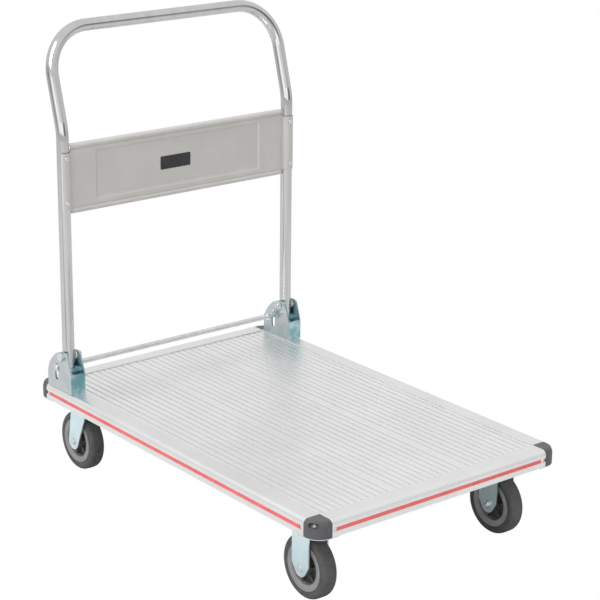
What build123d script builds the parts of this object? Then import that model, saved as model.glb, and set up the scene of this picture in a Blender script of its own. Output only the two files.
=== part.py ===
"""Flatbed platform truck: aluminium plank deck in a railed frame, folding push handle, four casters.

Frame: millimetres, +Z up from the floor, +X forward (away from the handle), +Y to the left when
walking forward. The origin is on the floor under the centre of the deck.
"""

from build123d import *
from math import cos, pi, radians, sin, tan
import os

# Deck frame
deck_length = 940.0
deck_width = 610.0
rail_height = 33.5
rail_width = 37.0
rail_shoulder = 10.0  # rounding of the outer top edge
rail_wall = 3.0
rail_outer_wall = 5.5
rail_top_wall = 4.5
wheel_top_gap = 33.3  # between a wheel and its caster plate
cut = 1.0  # how far a cutter reaches past the surface

# Coloured insert strip in every rail
stripe_height = 7.5
stripe_depth = 2.0
stripe_centre = 14.5  # above the rail's underside
stripe_end_gap = 12.5  # bare rail between the strip and the corner guard
stripe_fit = 0.1

# Corner guards
guard_side = 5.0  # flat length at each side of the round corner
guard_wall = 4.0
tongue_length = 15.0
tongue_fit = 0.2
recess_width = 20.0
recess_height = 9.0
recess_depth = 5.0
recess_drop = 8.0  # recess centre below the guard's top
recess_tilt = 30.0
recess_turn = 58.0  # from the truck's length towards its side
recess_set_in = 2.5  # recess plane inside the round corner
guard_screw_radius = 2.0
guard_screw_length = 10.5
guard_screw_head = 3.8
guard_screw_head_height = 2.6
guard_screw_head_round = 1.2
guard_screw_slot = 1.0
guard_hole_fit = 0.1
guard_hole_length = 16.0
gusset_reach = 15.0  # past the corner guard along each rail
gusset_thickness = 1.5
gusset_screw_inset = 6.0
gusset_cut = 19.5  # leg of the cut on the inner corner
frame_screw_radius = 2.0
frame_screw_head = 4.0

# Deck planks
plank_count = 3
plank_gap = 0.3
plank_drop = 2.0  # plank tops lie this much under the rail tops
plank_depth = 18.0
plank_skin = 3.2
plank_rib = 2.6
plank_cells = 4
groove_count = 11
groove_land = 0.5  # plain land that the plank's edges share, in groove pitches
groove_width = 3.5
groove_depth = 1.2

# Cross channels under the planks
channel_width = 100.0
channel_wall = 4.0

# Casters
wheel_radius = 63.5
tyre_width = 32.0
tyre_depth = 15.9
tyre_round = 8.0
tyre_fit = 0.1
rim_depth = 12.8
rim_width = 33.0
rim_round = 1.5
hub_radius = 17.0
hub_web = 5.0
hub_lap = 2.0  # how far web and spokes run into the rim and the boss
spoke_count = 6
spoke_thickness = 4.0
spoke_width = 22.0
axle_radius = 4.0
axle_across = 13.0
axle_head_height = 3.0
axle_nut_height = 6.0
axle_thread_end = 2.0  # past the nut
sleeve_radius = 7.0
running_fit = 0.05
end_play = 0.2
fork_gap = 42.0  # between the legs
fork_sheet = 3.0
leg_width = 49.0
leg_tip_radius = 17.0
leg_taper_height = 8.0  # above the axle, where the taper starts
leg_shoulder = 1.0  # height of the full width that the taper starts from
caster_inset = 30.7  # caster centre inboard of the side rail's inner face
rigid_inset = 100.0  # caster centre from the deck's front end
swivel_inset = 104.0  # kingpin from the deck's rear end
swivel_trail = 37.0
swivel_leg_back = 4.0  # leg's top behind the axle
swivel_leg_front = 16.0  # leg's top ahead of the kingpin
plate_length = 100.0
plate_width = 70.0
plate_thickness = 3.2
plate_round = 8.0
plate_hole_x = 76.0
plate_hole_y = 46.0
bolt_radius = 4.0
bolt_fit = 0.25
bolt_across = 13.0
bolt_head_height = 5.3
bolt_nut_height = 6.5
bolt_end_gap = 1.0  # between a caster bolt's end and the plank
nut_fit = 0.1
race_radius = 32.0
race_skirt = 2.5
race_depth = 11.0
race_roof = 2.2
race_clearance = 0.6  # fork shoulder below the race cup
ball_radius = 3.0
ball_ring_radius = 23.0
ball_count = 16
ball_play = 0.1
crown_radius = 28.0
kingpin_radius = 6.0
kingpin_head_radius = 10.0
kingpin_head_height = 4.0

# Handle
tube_radius = 12.7
tube_wall = 1.8
leg_shift = 0.8  # leg axes inboard of the side rails' centre lines
handle_inset = 97.5  # leg axes from the deck's rear end
bar_height = 945.0  # axis of the grip bar above the floor
lean_height = 747.5  # where the legs' axes turn back
lean_angle = 15.8
lean_radius = 128.0
corner_radius = 95.0
pivot_height = 75.0  # above the rail tops
tube_tail = 26.0  # below the pivot
pivot_radius = 5.0
pivot_head_height = 6.0
pivot_nut_height = 6.0
pivot_thread_end = 5.5
hex_across = 17.0
washer_radius = 10.0
washer_thickness = 1.2
washer_gap = 1.5  # between the tube and each bracket plate
plug_length = 8.0
plug_fit = 0.1

# Handle brackets
bracket_sheet = 3.0
bracket_back = 55.5  # behind the tube axis
bracket_front = 34.5  # ahead of it
bracket_height = 86.0
bracket_back_height = 46.0
bracket_front_height = 43.0
bracket_top_back = 15.5
bracket_top_front = 19.5
bracket_front_round = 9.0
bracket_rear_round = 58.0
stop_depth = 18.0
bracket_bolt_x = 20.0
bracket_hole_fit = 0.3
bracket_bolt_end = 9.0  # below the rail's top wall

# Release rod
rod_radius = 5.5
rod_gap = 2.3  # between the rod and the tube behind it
rod_below = 28.5  # under the pivot
rod_travel = 22.0
rod_fit = 0.35
rod_overhang = 4.0
rod_end_chamfer = 1.0
collar_radius = 9.0
collar_width = 8.0
collar_clear = 14.0
collar_chamfer = 0.8
clip_radius = 8.5
clip_width = 1.2
clip_gap = 0.6
spring_radius = 2.6
spring_wire = 0.5
spring_coils = 9
spring_offset = 9.5  # inboard of the bracket's inner plate
hook_fit = 0.3
hook_link = 2.5  # straight between a hook's ring and the coil

# Handle panel
panel_bottom = 575.5
panel_top = 718.0
panel_sheet = 1.5
panel_lip = 14.0
panel_bend = 6.0
panel_fit = 0.15
panel_set_forward = 2.5  # panel face ahead of the tube axis
wrap_end = 44.0  # how far a wrap runs past the leg's front, in degrees
wrap_end_gap = 12.0  # panel edge to the wrap's end
field_inset = 75.7  # field edge from a leg's axis
field_edge = 17.25  # above and below the field
field_depth = 3.0
field_side_slope = 4.0
field_low_slope = 15.0
rivet_inset = 25.0
rivet_head_radius = 4.8
rivet_head_height = 2.2
rivet_head_round = 1.76
rivet_radius = 2.4
rivet_fit = 0.1
rivet_bulb = 0.9  # set end past the shank's radius
rivet_bulb_length = 3.2
rivet_bulb_gap = 0.8
label_width = 76.0
label_height = 28.0
label_thickness = 0.8
label_shift = -10.0
label_round = 2.0

# Derived places
frame_bottom = 2 * wheel_radius + wheel_top_gap + plate_thickness
frame_top = frame_bottom + rail_height
plank_top = frame_top - plank_drop
plank_bottom = plank_top - plank_depth
inner_x = deck_length / 2 - rail_width
inner_y = deck_width / 2 - rail_width
guard_radius = rail_width - guard_side
plate_bottom = frame_bottom - plate_thickness
rigid_x = deck_length / 2 - rigid_inset
swivel_x = swivel_inset - deck_length / 2
caster_y = inner_y - caster_inset
tyre_inner = wheel_radius - tyre_depth
rim_inner = tyre_inner - rim_depth
tube_x = handle_inset - deck_length / 2
leg_y = inner_y + rail_width / 2 - leg_shift
leg_inner = fork_gap / 2
leg_outer = leg_inner + fork_sheet
pivot_z = frame_top + pivot_height
rod_x = tube_x - tube_radius - rod_gap - rod_radius
rod_z = pivot_z - rod_below
bracket_half_gap = tube_radius + washer_gap
bracket_half = bracket_half_gap + bracket_sheet
axle_x = swivel_x - swivel_trail
crown_top = plate_bottom - race_roof - 2 * ball_radius - 2 * ball_play
shoulder_top = plate_bottom - race_depth - race_clearance
crown_bottom = shoulder_top - fork_sheet

os.makedirs("parts", exist_ok=True)
written = []


def save(shape, node):
    shape.label = node
    export_step(shape, f"parts/{node}.step")
    written.append(node)


def box(x0, x1, y0, y1, z0, z1):
    low = (min(x0, x1), min(y0, y1), min(z0, z1))
    size = (abs(x1 - x0), abs(y1 - y0), abs(z1 - z0))
    return Pos(*low) * Box(*size, align=(Align.MIN, Align.MIN, Align.MIN))


def rod_y(radius, y0, y1, x, z):
    """Cylinder along Y."""
    length = abs(y1 - y0)
    return Pos(x, (y0 + y1) / 2, z) * Rot(90, 0, 0) * Cylinder(radius, length)


def rod_along_z(radius, z0, z1, x, y):
    """Cylinder along Z."""
    return Pos(x, y, (z0 + z1) / 2) * Cylinder(radius, abs(z1 - z0))


def hex_bar(across, length):
    """Hexagonal head or nut along Z about the origin, with a turned chamfer on both ends."""
    corner = across / 3**0.5
    turned = Cylinder(corner, length)
    turned = chamfer(turned.edges().filter_by(GeomType.CIRCLE), corner - across / 2)
    return extrude(RegularPolygon(across / 2, 6, major_radius=False), length / 2, both=True) & turned


def hex_y(across, y0, y1, x, z):
    """Hexagonal head or nut along Y."""
    return Pos(x, (y0 + y1) / 2, z) * Rot(90, 0, 0) * hex_bar(across, abs(y1 - y0))


def hex_z(across, z0, z1, x, y):
    """Hexagonal head or nut along Z."""
    return Pos(x, y, (z0 + z1) / 2) * hex_bar(across, abs(z1 - z0))


def side_sheet(outline, y0, y1):
    """Sheet that stands in the XZ plane, from an outline whose Y axis points up."""
    low = min(y0, y1)
    plane = Plane(origin=(0, low, 0), x_dir=(1, 0, 0), z_dir=(0, -1, 0))
    return extrude(plane * outline, -abs(y1 - y0))


def group(pieces):
    return Compound(children=list(pieces))


# ---------------------------------------------------------------- deck frame


def rail_section():
    """Section of a rail: first axis outward from its inner face, second axis up from its underside."""
    body = Pos(rail_width / 2, rail_height / 2) * Rectangle(rail_width, rail_height)
    corner = body.vertices().sort_by(lambda v: v.X + v.Y)[-1]
    body = fillet(corner, rail_shoulder)
    cavity_width = rail_width - rail_wall - rail_outer_wall
    cavity_height = rail_height - rail_wall - rail_top_wall
    cavity = Rectangle(cavity_width, cavity_height)
    cavity = Pos(rail_wall + cavity_width / 2, rail_wall + cavity_height / 2) * cavity
    groove = Rectangle(stripe_depth, stripe_height + 2 * stripe_fit)
    groove = Pos(rail_width - stripe_depth / 2, stripe_centre) * groove
    return body - cavity - groove


def rail_plane(side, start):
    """Plane of a rail's section: side is one of +x, -x, +y, -y and start is where the rail begins."""
    if side == "+y":
        return Plane(origin=(start, inner_y, frame_bottom), x_dir=(0, 1, 0), z_dir=(1, 0, 0))
    if side == "-y":
        return Plane(origin=(start, -inner_y, frame_bottom), x_dir=(0, -1, 0), z_dir=(-1, 0, 0))
    if side == "+x":
        return Plane(origin=(inner_x, start, frame_bottom), x_dir=(1, 0, 0), z_dir=(0, -1, 0))
    return Plane(origin=(-inner_x, start, frame_bottom), x_dir=(-1, 0, 0), z_dir=(0, 1, 0))


rail_sides = {
    "side_rail_left": ("+y", -inner_x, 2 * inner_x),
    "side_rail_right": ("-y", inner_x, 2 * inner_x),
    "end_rail_front": ("+x", inner_y, 2 * inner_y),
    "end_rail_rear": ("-x", -inner_y, 2 * inner_y),
}
stripe_names = {
    "side_rail_left": "stripe_left",
    "side_rail_right": "stripe_right",
    "end_rail_front": "stripe_front",
    "end_rail_rear": "stripe_rear",
}


def rail(side, start, length):
    return extrude(rail_plane(side, start) * rail_section(), length)


def stripe(side, start, length):
    """Insert strip that fills the rail's groove and stops short of the corner guards."""
    section = Pos(rail_width - stripe_depth / 2, stripe_centre) * Rectangle(stripe_depth, stripe_height)
    plane = rail_plane(side, start).offset(stripe_end_gap)
    return extrude(plane * section, length - 2 * stripe_end_gap)


def guard_blank():
    """Corner block of the frame at +X +Y, with a round outer corner and the rails' shoulder."""
    block = box(inner_x, inner_x + rail_width, inner_y, inner_y + rail_width, frame_bottom, frame_top)
    corner = block.edges().filter_by(Axis.Z).sort_by(lambda e: e.center().X + e.center().Y)[-1]
    block = fillet(corner, guard_radius)
    outer = [e for e in block.edges() if abs(e.center().Z - frame_top) < stripe_fit and on_outer_edge(e)]
    return fillet(outer, rail_shoulder)


def on_outer_edge(edge):
    middle = edge.center()
    return middle.X > inner_x + rail_width / 2 + cut or middle.Y > inner_y + rail_width / 2 + cut


def guard_tongue(along_x):
    """Tongue that plugs into the open end of a rail."""
    low = frame_bottom + rail_wall + tongue_fit
    high = frame_top - rail_top_wall - tongue_fit
    near = rail_wall + tongue_fit
    far = rail_width - rail_outer_wall - tongue_fit
    if along_x:
        return box(inner_x - tongue_length, inner_x, inner_y + near, inner_y + far, low, high)
    return box(inner_x + near, inner_x + far, inner_y - tongue_length, inner_y, low, high)


def recess_plane(depth):
    """Plane of the screw recess in the round corner at +X +Y, this deep below the recess's rim."""
    turn = radians(recess_turn)
    tilt = radians(recess_tilt)
    reach = guard_radius - recess_set_in
    middle = (inner_x + guard_side + reach * cos(turn), inner_y + guard_side + reach * sin(turn))
    outward = (cos(turn) * cos(tilt), sin(turn) * cos(tilt), sin(tilt))
    rim = Plane(origin=(*middle, frame_top - recess_drop), x_dir=(-sin(turn), cos(turn), 0), z_dir=outward)
    return rim.offset(-depth)


def corner_guard():
    """Moulded guard: hollow block, two tongues and an oval screw recess in the round corner."""
    pocket = box(
        inner_x + guard_wall,
        inner_x + rail_width / 2 + guard_wall,
        inner_y + guard_wall,
        inner_y + rail_width / 2 + guard_wall,
        frame_bottom,
        frame_bottom + rail_height / 3,
    )
    solid = guard_blank() + guard_tongue(True) + guard_tongue(False) - pocket
    oval = SlotOverall(recess_width, recess_height)
    solid -= extrude(recess_plane(recess_depth) * oval, 3 * recess_depth)
    return solid - extrude(recess_plane(0) * Circle(guard_screw_radius + guard_hole_fit), -guard_hole_length)


def guard_screw():
    """Pan-head screw with a cross slot that lies in the guard's recess."""
    seat = recess_plane(recess_depth)
    head = extrude(seat * Circle(guard_screw_head), guard_screw_head_height)
    rim = head.edges().group_by(SortBy.LENGTH)[-1].sort_by(lambda e: e.center().Z)[-1]
    head = fillet(rim, guard_screw_head_round)
    shank = extrude(seat * Circle(guard_screw_radius), -guard_screw_length)
    slot_floor = recess_plane(recess_depth - guard_screw_head_height + guard_screw_slot)
    slot = slot_floor * Rectangle(2 * guard_screw_head, guard_screw_slot)
    cross = slot_floor * Rectangle(guard_screw_slot, 2 * guard_screw_head)
    return head + shank - extrude(slot, 2 * guard_screw_slot) - extrude(cross, 2 * guard_screw_slot)


def four_corners(piece):
    """The piece made at +X +Y, then mirrored to every corner: name to solid."""
    right = piece.mirror(Plane.XZ)
    return {
        "front_left": piece,
        "front_right": right,
        "rear_left": piece.mirror(Plane.YZ),
        "rear_right": right.mirror(Plane.YZ),
    }


def gusset():
    """Flat steel corner plate that ties two rails and the guard from below."""
    low = frame_bottom - gusset_thickness
    near_x = inner_x - gusset_reach
    near_y = inner_y - gusset_reach
    plate = box(near_x, inner_x + rail_width, near_y, inner_y + rail_width, low, frame_bottom)
    uprights = plate.edges().filter_by(Axis.Z).sort_by(lambda e: e.center().X + e.center().Y)
    plate = fillet(uprights[-1], guard_radius)
    uprights = plate.edges().filter_by(Axis.Z).sort_by(lambda e: e.center().X + e.center().Y)
    plate = chamfer(uprights[0], gusset_cut)
    for x, y in gusset_screw_places():
        plate -= rod_along_z(frame_screw_radius + nut_fit, low - cut, frame_bottom + cut, x, y)
    return plate


def gusset_screw_places():
    middle = rail_width / 2
    back = gusset_reach - gusset_screw_inset
    return [(inner_x - back, inner_y + middle), (inner_x + middle, inner_y - back)]


def gusset_screws():
    """Self-tapping screws from below into the rails' lower walls."""
    top = frame_bottom + rail_wall
    low = frame_bottom - gusset_thickness
    for x, y in gusset_screw_places():
        head = rod_along_z(frame_screw_head, low - frame_screw_radius, low, x, y)
        yield head + rod_along_z(frame_screw_radius, low, top, x, y)


def drill_for_gussets(solid):
    """Pilot holes in a rail for the gusset screws, at every corner that the rail reaches."""
    radius = frame_screw_radius + nut_fit
    low = frame_bottom - cut
    high = frame_bottom + rail_wall + cut
    for x, y in gusset_screw_places():
        for corner_x, corner_y in ((x, y), (x, -y), (-x, y), (-x, -y)):
            solid -= rod_along_z(radius, low, high, corner_x, corner_y)
    return solid


# ---------------------------------------------------------------- deck planks


plank_span = 2 * inner_y
plank_pitch = plank_span / plank_count
plank_width = plank_pitch - plank_gap
plank_half_length = inner_x - plank_gap
groove_pitch = plank_width / (groove_count + groove_land)


def plank(centre_y):
    """Extruded plank: grooved top skin on ribs that are open below."""
    body = box(
        -plank_half_length,
        plank_half_length,
        centre_y - plank_width / 2,
        centre_y + plank_width / 2,
        plank_bottom,
        plank_top,
    )
    cell = (plank_width - plank_rib * (plank_cells + 1)) / plank_cells
    for i in range(plank_cells):
        y0 = centre_y - plank_width / 2 + plank_rib + i * (cell + plank_rib)
        body -= box(-deck_length, deck_length, y0, y0 + cell, plank_bottom - cut, plank_top - plank_skin)
    for i in range(groove_count):
        y0 = centre_y + (i - (groove_count - 1) / 2) * groove_pitch - groove_width / 2
        low = plank_top - groove_depth
        body -= box(-deck_length, deck_length, y0, y0 + groove_width, low, plank_top + cut)
    return body


def cross_channel(x, drilled):
    """Channel across the frame, open upward, that carries the planks and takes the caster bolts."""
    half = channel_width / 2
    outer = box(x - half, x + half, -inner_y, inner_y, frame_bottom, plank_bottom)
    inside = box(
        x - half + channel_wall,
        x + half - channel_wall,
        -deck_width,
        deck_width,
        frame_bottom + channel_wall,
        plank_bottom + cut,
    )
    channel = outer - inside
    places = plate_holes(x) if drilled else []
    low = frame_bottom - cut
    high = frame_bottom + channel_wall + cut
    for hole_x, hole_y in places:
        for y in (hole_y, -hole_y):
            channel -= rod_along_z(bolt_radius + bolt_fit, low, high, hole_x, y)
    return channel


def plate_holes(x):
    """Bolt places of the caster plate at this x, on the left side of the truck."""
    return [
        (x + sx * plate_hole_x / 2, caster_y + sy * plate_hole_y / 2)
        for sx in (1, -1)
        for sy in (1, -1)
    ]


def nut_z(low, x, y):
    """Plain nut that stands on this height."""
    nut = hex_z(bolt_across, low, low + bolt_nut_height, x, y)
    return nut - rod_along_z(bolt_radius + nut_fit, low - cut, low + bolt_nut_height + cut, x, y)


def caster_bolt(x, y):
    """Hex bolt from below with its nut inside the channel."""
    head = hex_z(bolt_across, plate_bottom - bolt_head_height, plate_bottom, x, y)
    shank = rod_along_z(bolt_radius, plate_bottom, plank_bottom - bolt_end_gap, x, y)
    return [head + shank, nut_z(frame_bottom + channel_wall, x, y)]


# ---------------------------------------------------------------- casters


def caster_plate(x, y):
    """Rounded mounting plate with its four bolt holes."""
    plate = box(
        x - plate_length / 2,
        x + plate_length / 2,
        y - plate_width / 2,
        y + plate_width / 2,
        plate_bottom,
        frame_bottom,
    )
    plate = fillet(plate.edges().filter_by(Axis.Z), plate_round)
    for cx, cy in plate_holes(x):
        hole_y = cy if y > 0 else -cy
        plate -= rod_along_z(bolt_radius + bolt_fit, plate_bottom - cut, frame_bottom + cut, cx, hole_y)
    return plate


def rigid_leg(x):
    """Outline of a rigid fork's leg: straight sides that taper to a round tip at the axle."""
    taper = wheel_radius + leg_taper_height
    sides = Pos(x, (taper + plate_bottom) / 2) * Rectangle(leg_width, plate_bottom - taper)
    tip = Pos(x, wheel_radius) * Circle(leg_tip_radius)
    shoulder = Pos(x, taper) * Rectangle(leg_width, leg_shoulder)
    return sides + make_hull(shoulder.edges() + tip.edges())


def swivel_leg(x):
    """Outline of a swivel fork's leg: it rakes back from the crown to a round tip at the trailing axle."""
    back = x - swivel_leg_back
    front = swivel_x + swivel_leg_front
    top = Pos((back + front) / 2, crown_bottom + leg_shoulder / 2) * Rectangle(front - back, leg_shoulder)
    tip = Pos(x, wheel_radius) * Circle(leg_tip_radius)
    return make_hull(top.edges() + tip.edges())


def axle_hole(solid, x, y):
    return solid - rod_y(axle_radius + running_fit, y - 2 * leg_outer, y + 2 * leg_outer, x, wheel_radius)


def rigid_fork(y):
    fork = caster_plate(rigid_x, y)
    for side in (1, -1):
        fork += side_sheet(rigid_leg(rigid_x), y + side * leg_inner, y + side * leg_outer)
    return axle_hole(fork, rigid_x, y)


def swivel_plate(y):
    """Plate of a swivel caster with the race cup that hangs under it."""
    plate = caster_plate(swivel_x, y)
    cup = rod_along_z(race_radius, plate_bottom - race_depth, plate_bottom, swivel_x, y)
    inside = race_radius - race_skirt
    cup -= rod_along_z(inside, plate_bottom - race_depth - cut, plate_bottom - race_roof, swivel_x, y)
    body = plate + cup
    return body - rod_along_z(kingpin_radius + running_fit, 0, frame_top, swivel_x, y)


def swivel_fork(y):
    """Crown dish that rides on the balls, a shoulder under the race cup and two raked legs."""
    inside = crown_radius - fork_sheet
    crown = rod_along_z(crown_radius, crown_bottom, crown_top, swivel_x, y)
    crown -= rod_along_z(inside, crown_bottom - cut, crown_top - fork_sheet, swivel_x, y)
    back = axle_x - swivel_leg_back
    front = swivel_x + swivel_leg_front
    shoulder = box(back, front, y - leg_outer, y + leg_outer, crown_bottom, shoulder_top)
    crown += shoulder - rod_along_z(inside, crown_bottom - cut, shoulder_top + cut, swivel_x, y)
    for side in (1, -1):
        crown += side_sheet(swivel_leg(axle_x), y + side * leg_inner, y + side * leg_outer)
    crown -= rod_along_z(kingpin_radius + running_fit, crown_bottom - cut, crown_top + cut, swivel_x, y)
    return axle_hole(crown, axle_x, y)


def kingpin(y):
    """Pin that holds the swivel fork up to its plate."""
    head_top = crown_top - fork_sheet - end_play
    pin = rod_along_z(kingpin_radius, head_top, frame_bottom, swivel_x, y)
    return pin + rod_along_z(kingpin_head_radius, head_top - kingpin_head_height, head_top, swivel_x, y)


def race_balls(y):
    z = crown_top + ball_play + ball_radius
    for i in range(ball_count):
        angle = 2 * pi * i / ball_count
        place = (swivel_x + ball_ring_radius * cos(angle), y + ball_ring_radius * sin(angle), z)
        yield Pos(*place) * Sphere(ball_radius)


def wheel_body(x, y, section):
    """Revolve a section about the axle: first axis is the radius, second axis runs along the axle."""
    plane = Plane(origin=(x, y, wheel_radius), x_dir=(1, 0, 0), z_dir=(0, 0, -1))
    axis = Axis((x, y, wheel_radius), (0, 1, 0))
    return revolve(plane * section, axis, 360)


def tyre(x, y):
    height = wheel_radius - tyre_inner
    section = Pos(tyre_inner + height / 2, 0) * Rectangle(height, tyre_width)
    section = fillet(section.vertices().group_by(Axis.X)[-1], tyre_round)
    return wheel_body(x, y, section)


def hub(x, y):
    """Moulded wheel centre: rim ring, thin web, boss and spokes on both faces."""
    rim_outer = tyre_inner - tyre_fit
    rim = Pos((rim_inner + rim_outer) / 2, 0) * Rectangle(rim_outer - rim_inner, rim_width)
    rim = fillet(rim.vertices(), rim_round)
    web_start = hub_radius - hub_lap
    web_length = rim_inner + hub_lap - web_start
    web = Pos(web_start + web_length / 2, 0) * Rectangle(web_length, hub_web)
    bore = sleeve_radius + running_fit
    boss = Pos((bore + hub_radius) / 2, 0) * Rectangle(hub_radius - bore, fork_gap - 2 * end_play)
    solid = wheel_body(x, y, rim) + wheel_body(x, y, web) + wheel_body(x, y, boss)
    for i in range(spoke_count):
        spoke = Pos(web_start + web_length / 2, 0, 0) * Box(web_length, spoke_width, spoke_thickness)
        solid += Pos(x, y, wheel_radius) * Rot(0, 360 * i / spoke_count, 0) * spoke
    return solid


def sleeve(x, y):
    """Spacer tube that the hub turns on, clamped between the fork legs."""
    half = leg_inner - running_fit
    outer = rod_y(sleeve_radius, y - half, y + half, x, wheel_radius)
    return outer - rod_y(axle_radius + running_fit, y - leg_outer, y + leg_outer, x, wheel_radius)


def axle_bolt(x, y):
    """Hex bolt with its head on the truck's outer side, and its lock nut."""
    out = 1 if y > 0 else -1
    near = y + out * leg_outer
    far = y - out * leg_outer
    nut_end = far - out * axle_nut_height
    head = hex_y(axle_across, near, near + out * axle_head_height, x, wheel_radius)
    shank = rod_y(axle_radius, near, nut_end - out * axle_thread_end, x, wheel_radius)
    nut = hex_y(axle_across, far, nut_end, x, wheel_radius)
    nut -= rod_y(axle_radius + running_fit, far + out * cut, nut_end - out * cut, x, wheel_radius)
    return [head + shank, nut]


# ---------------------------------------------------------------- handle


lean_run = (bar_height - lean_height) * tan(radians(lean_angle))
bar_x = tube_x - lean_run
tube_end = pivot_z - tube_tail


def handle_path():
    """Centre line of the push handle: two legs that lean back near the top, joined by the grip bar."""
    points = [
        (tube_x, -leg_y, tube_end),
        (tube_x, -leg_y, lean_height),
        (bar_x, -leg_y, bar_height),
        (bar_x, leg_y, bar_height),
        (tube_x, leg_y, lean_height),
        (tube_x, leg_y, tube_end),
    ]
    return FilletPolyline(*points, radius=[lean_radius, corner_radius, corner_radius, lean_radius])


def handle_tube():
    path = handle_path()
    start = Plane(origin=(tube_x, -leg_y, tube_end), z_dir=(0, 0, 1))
    tube = sweep(start * Circle(tube_radius), path=path)
    tube -= sweep(start * Circle(tube_radius - tube_wall), path=path)
    for side in (1, -1):
        y = side * leg_y
        tube -= rod_y(pivot_radius + running_fit, y - 2 * tube_radius, y + 2 * tube_radius, tube_x, pivot_z)
        for z in rivet_heights():
            tube -= rivet_hole(y, z, 2 * tube_radius)
    return tube


def rivet_hole(y, z, length):
    """Cutter for a rivet's hole, centred on the front of a leg."""
    return Pos(tube_x + tube_radius, y, z) * Rot(0, 90, 0) * Cylinder(rivet_radius + rivet_fit, length)


def rivet_heights():
    return (panel_bottom + rivet_inset, panel_top - rivet_inset)


def tube_plug(side):
    """Plastic plug in the open foot of a leg."""
    radius = tube_radius - tube_wall - plug_fit
    return rod_along_z(radius, tube_end, tube_end + plug_length, tube_x, side * leg_y)


panel_face = tube_x + panel_set_forward
field_width = 2 * (leg_y - field_inset)
field_height = panel_top - panel_bottom - 2 * field_edge
wrap_inner = tube_radius + panel_fit
wrap_outer = wrap_inner + panel_sheet


def panel_profile():
    """Section of the panel across its height: flat sheet with its top and bottom edges turned back."""
    height = panel_top - panel_bottom
    middle = (panel_top + panel_bottom) / 2
    outer = Pos(panel_face - panel_lip / 2, middle) * Rectangle(panel_lip, height)
    outer = fillet(outer.vertices().group_by(Axis.X)[-1], panel_bend)
    inner_middle = panel_face - panel_sheet - panel_lip / 2
    inner = Pos(inner_middle, middle) * Rectangle(panel_lip, height - 2 * panel_sheet)
    inner = fillet(inner.vertices().group_by(Axis.X)[-1], panel_bend - panel_sheet)
    return outer - inner


def field_block(shift):
    """Tapered block of the pressed field; shift moves it back by the sheet's thickness."""
    origin = (panel_face - shift, 0, panel_bottom + field_edge)
    front_plane = Plane(origin=origin, x_dir=(0, 1, 0), z_dir=(1, 0, 0))
    wide = front_plane * Pos(0, field_height / 2) * Rectangle(field_width, field_height)
    narrow_height = field_height - field_low_slope - field_side_slope
    narrow = Rectangle(field_width - 2 * field_side_slope, narrow_height)
    narrow = front_plane.offset(-field_depth) * Pos(0, field_low_slope + narrow_height / 2) * narrow
    return loft([wide, narrow])


def wrap(side):
    """End of the panel that runs round a leg, from its inner side over its front and a little past it."""
    low = panel_bottom + wrap_end_gap
    high = panel_top - wrap_end_gap
    y = side * leg_y
    reach = 2 * wrap_outer
    front = box(tube_x, tube_x + reach, y - reach, y + reach, low, high)
    past = Pos(tube_x, y, 0) * Rot(0, 0, side * wrap_end) * box(-reach, reach, 0, side * reach, low, high)
    return (rod_along_z(wrap_outer, low, high, tube_x, y) & front) - past


def handle_panel():
    """Pressed sheet panel: turned edges, a sunk field and ends that wrap the front of each leg."""
    half = leg_y - wrap_inner
    sheet = side_sheet(panel_profile(), -half, half)
    sheet += field_block(panel_sheet) - field_block(0)
    sheet -= field_block(0)
    for side in (1, -1):
        y = side * leg_y
        sheet += wrap(side)
        sheet -= rod_along_z(wrap_inner, panel_bottom - cut, panel_top + cut, tube_x, y)
        for z in rivet_heights():
            sheet -= rivet_hole(y, z, tube_radius)
    return sheet


def panel_rivet(side, z):
    """Blind rivet through the wrap and the tube's front wall."""
    y = side * leg_y
    head_x = tube_x + wrap_outer
    inside_x = tube_x + tube_radius - tube_wall
    place = Pos(head_x, y, z) * Rot(0, 90, 0)
    head = place * Pos(0, 0, rivet_head_height / 2) * Cylinder(rivet_head_radius, rivet_head_height)
    head = fillet(head.edges().filter_by(GeomType.CIRCLE).sort_by(Axis.X)[-1], rivet_head_round)
    bulb_x = inside_x - rivet_bulb_gap - rivet_bulb_length / 2
    length = head_x - bulb_x
    shank = place * Pos(0, 0, -length / 2) * Cylinder(rivet_radius, length)
    bulb = Pos(bulb_x, y, z) * Rot(0, 90, 0) * Cylinder(rivet_radius + rivet_bulb, rivet_bulb_length)
    return head + shank + bulb


def label_plate():
    """Blank plate on the sunk field."""
    back = panel_face - field_depth
    middle = (panel_bottom + panel_top) / 2
    plate = box(
        back,
        back + label_thickness,
        label_shift - label_width / 2,
        label_shift + label_width / 2,
        middle - label_height / 2,
        middle + label_height / 2,
    )
    return fillet(plate.edges().filter_by(Axis.X), label_round)


# ---------------------------------------------------------------- handle brackets and release


def bracket_outline():
    """Outline of a bracket's side plate in XZ, with rounded upper corners."""
    back = tube_x - bracket_back
    front = tube_x + bracket_front
    points = [
        (back, frame_top),
        (front, frame_top),
        (front, frame_top + bracket_front_height),
        (tube_x + bracket_top_front, frame_top + bracket_height),
        (tube_x - bracket_top_back, frame_top + bracket_height),
        (back, frame_top + bracket_back_height),
    ]
    rounds = [0, 0, 0, bracket_front_round, bracket_rear_round, bracket_rear_round]
    return make_face(FilletPolyline(*points, radius=rounds, close=True))


def rod_slot():
    """Upright slot that guides the release rod, in XZ."""
    width = 2 * (rod_radius + rod_fit)
    length = rod_travel + width
    return Pos(rod_x, rod_z - rod_travel / 2) * Rot(0, 0, 90) * SlotOverall(length, width)


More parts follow.
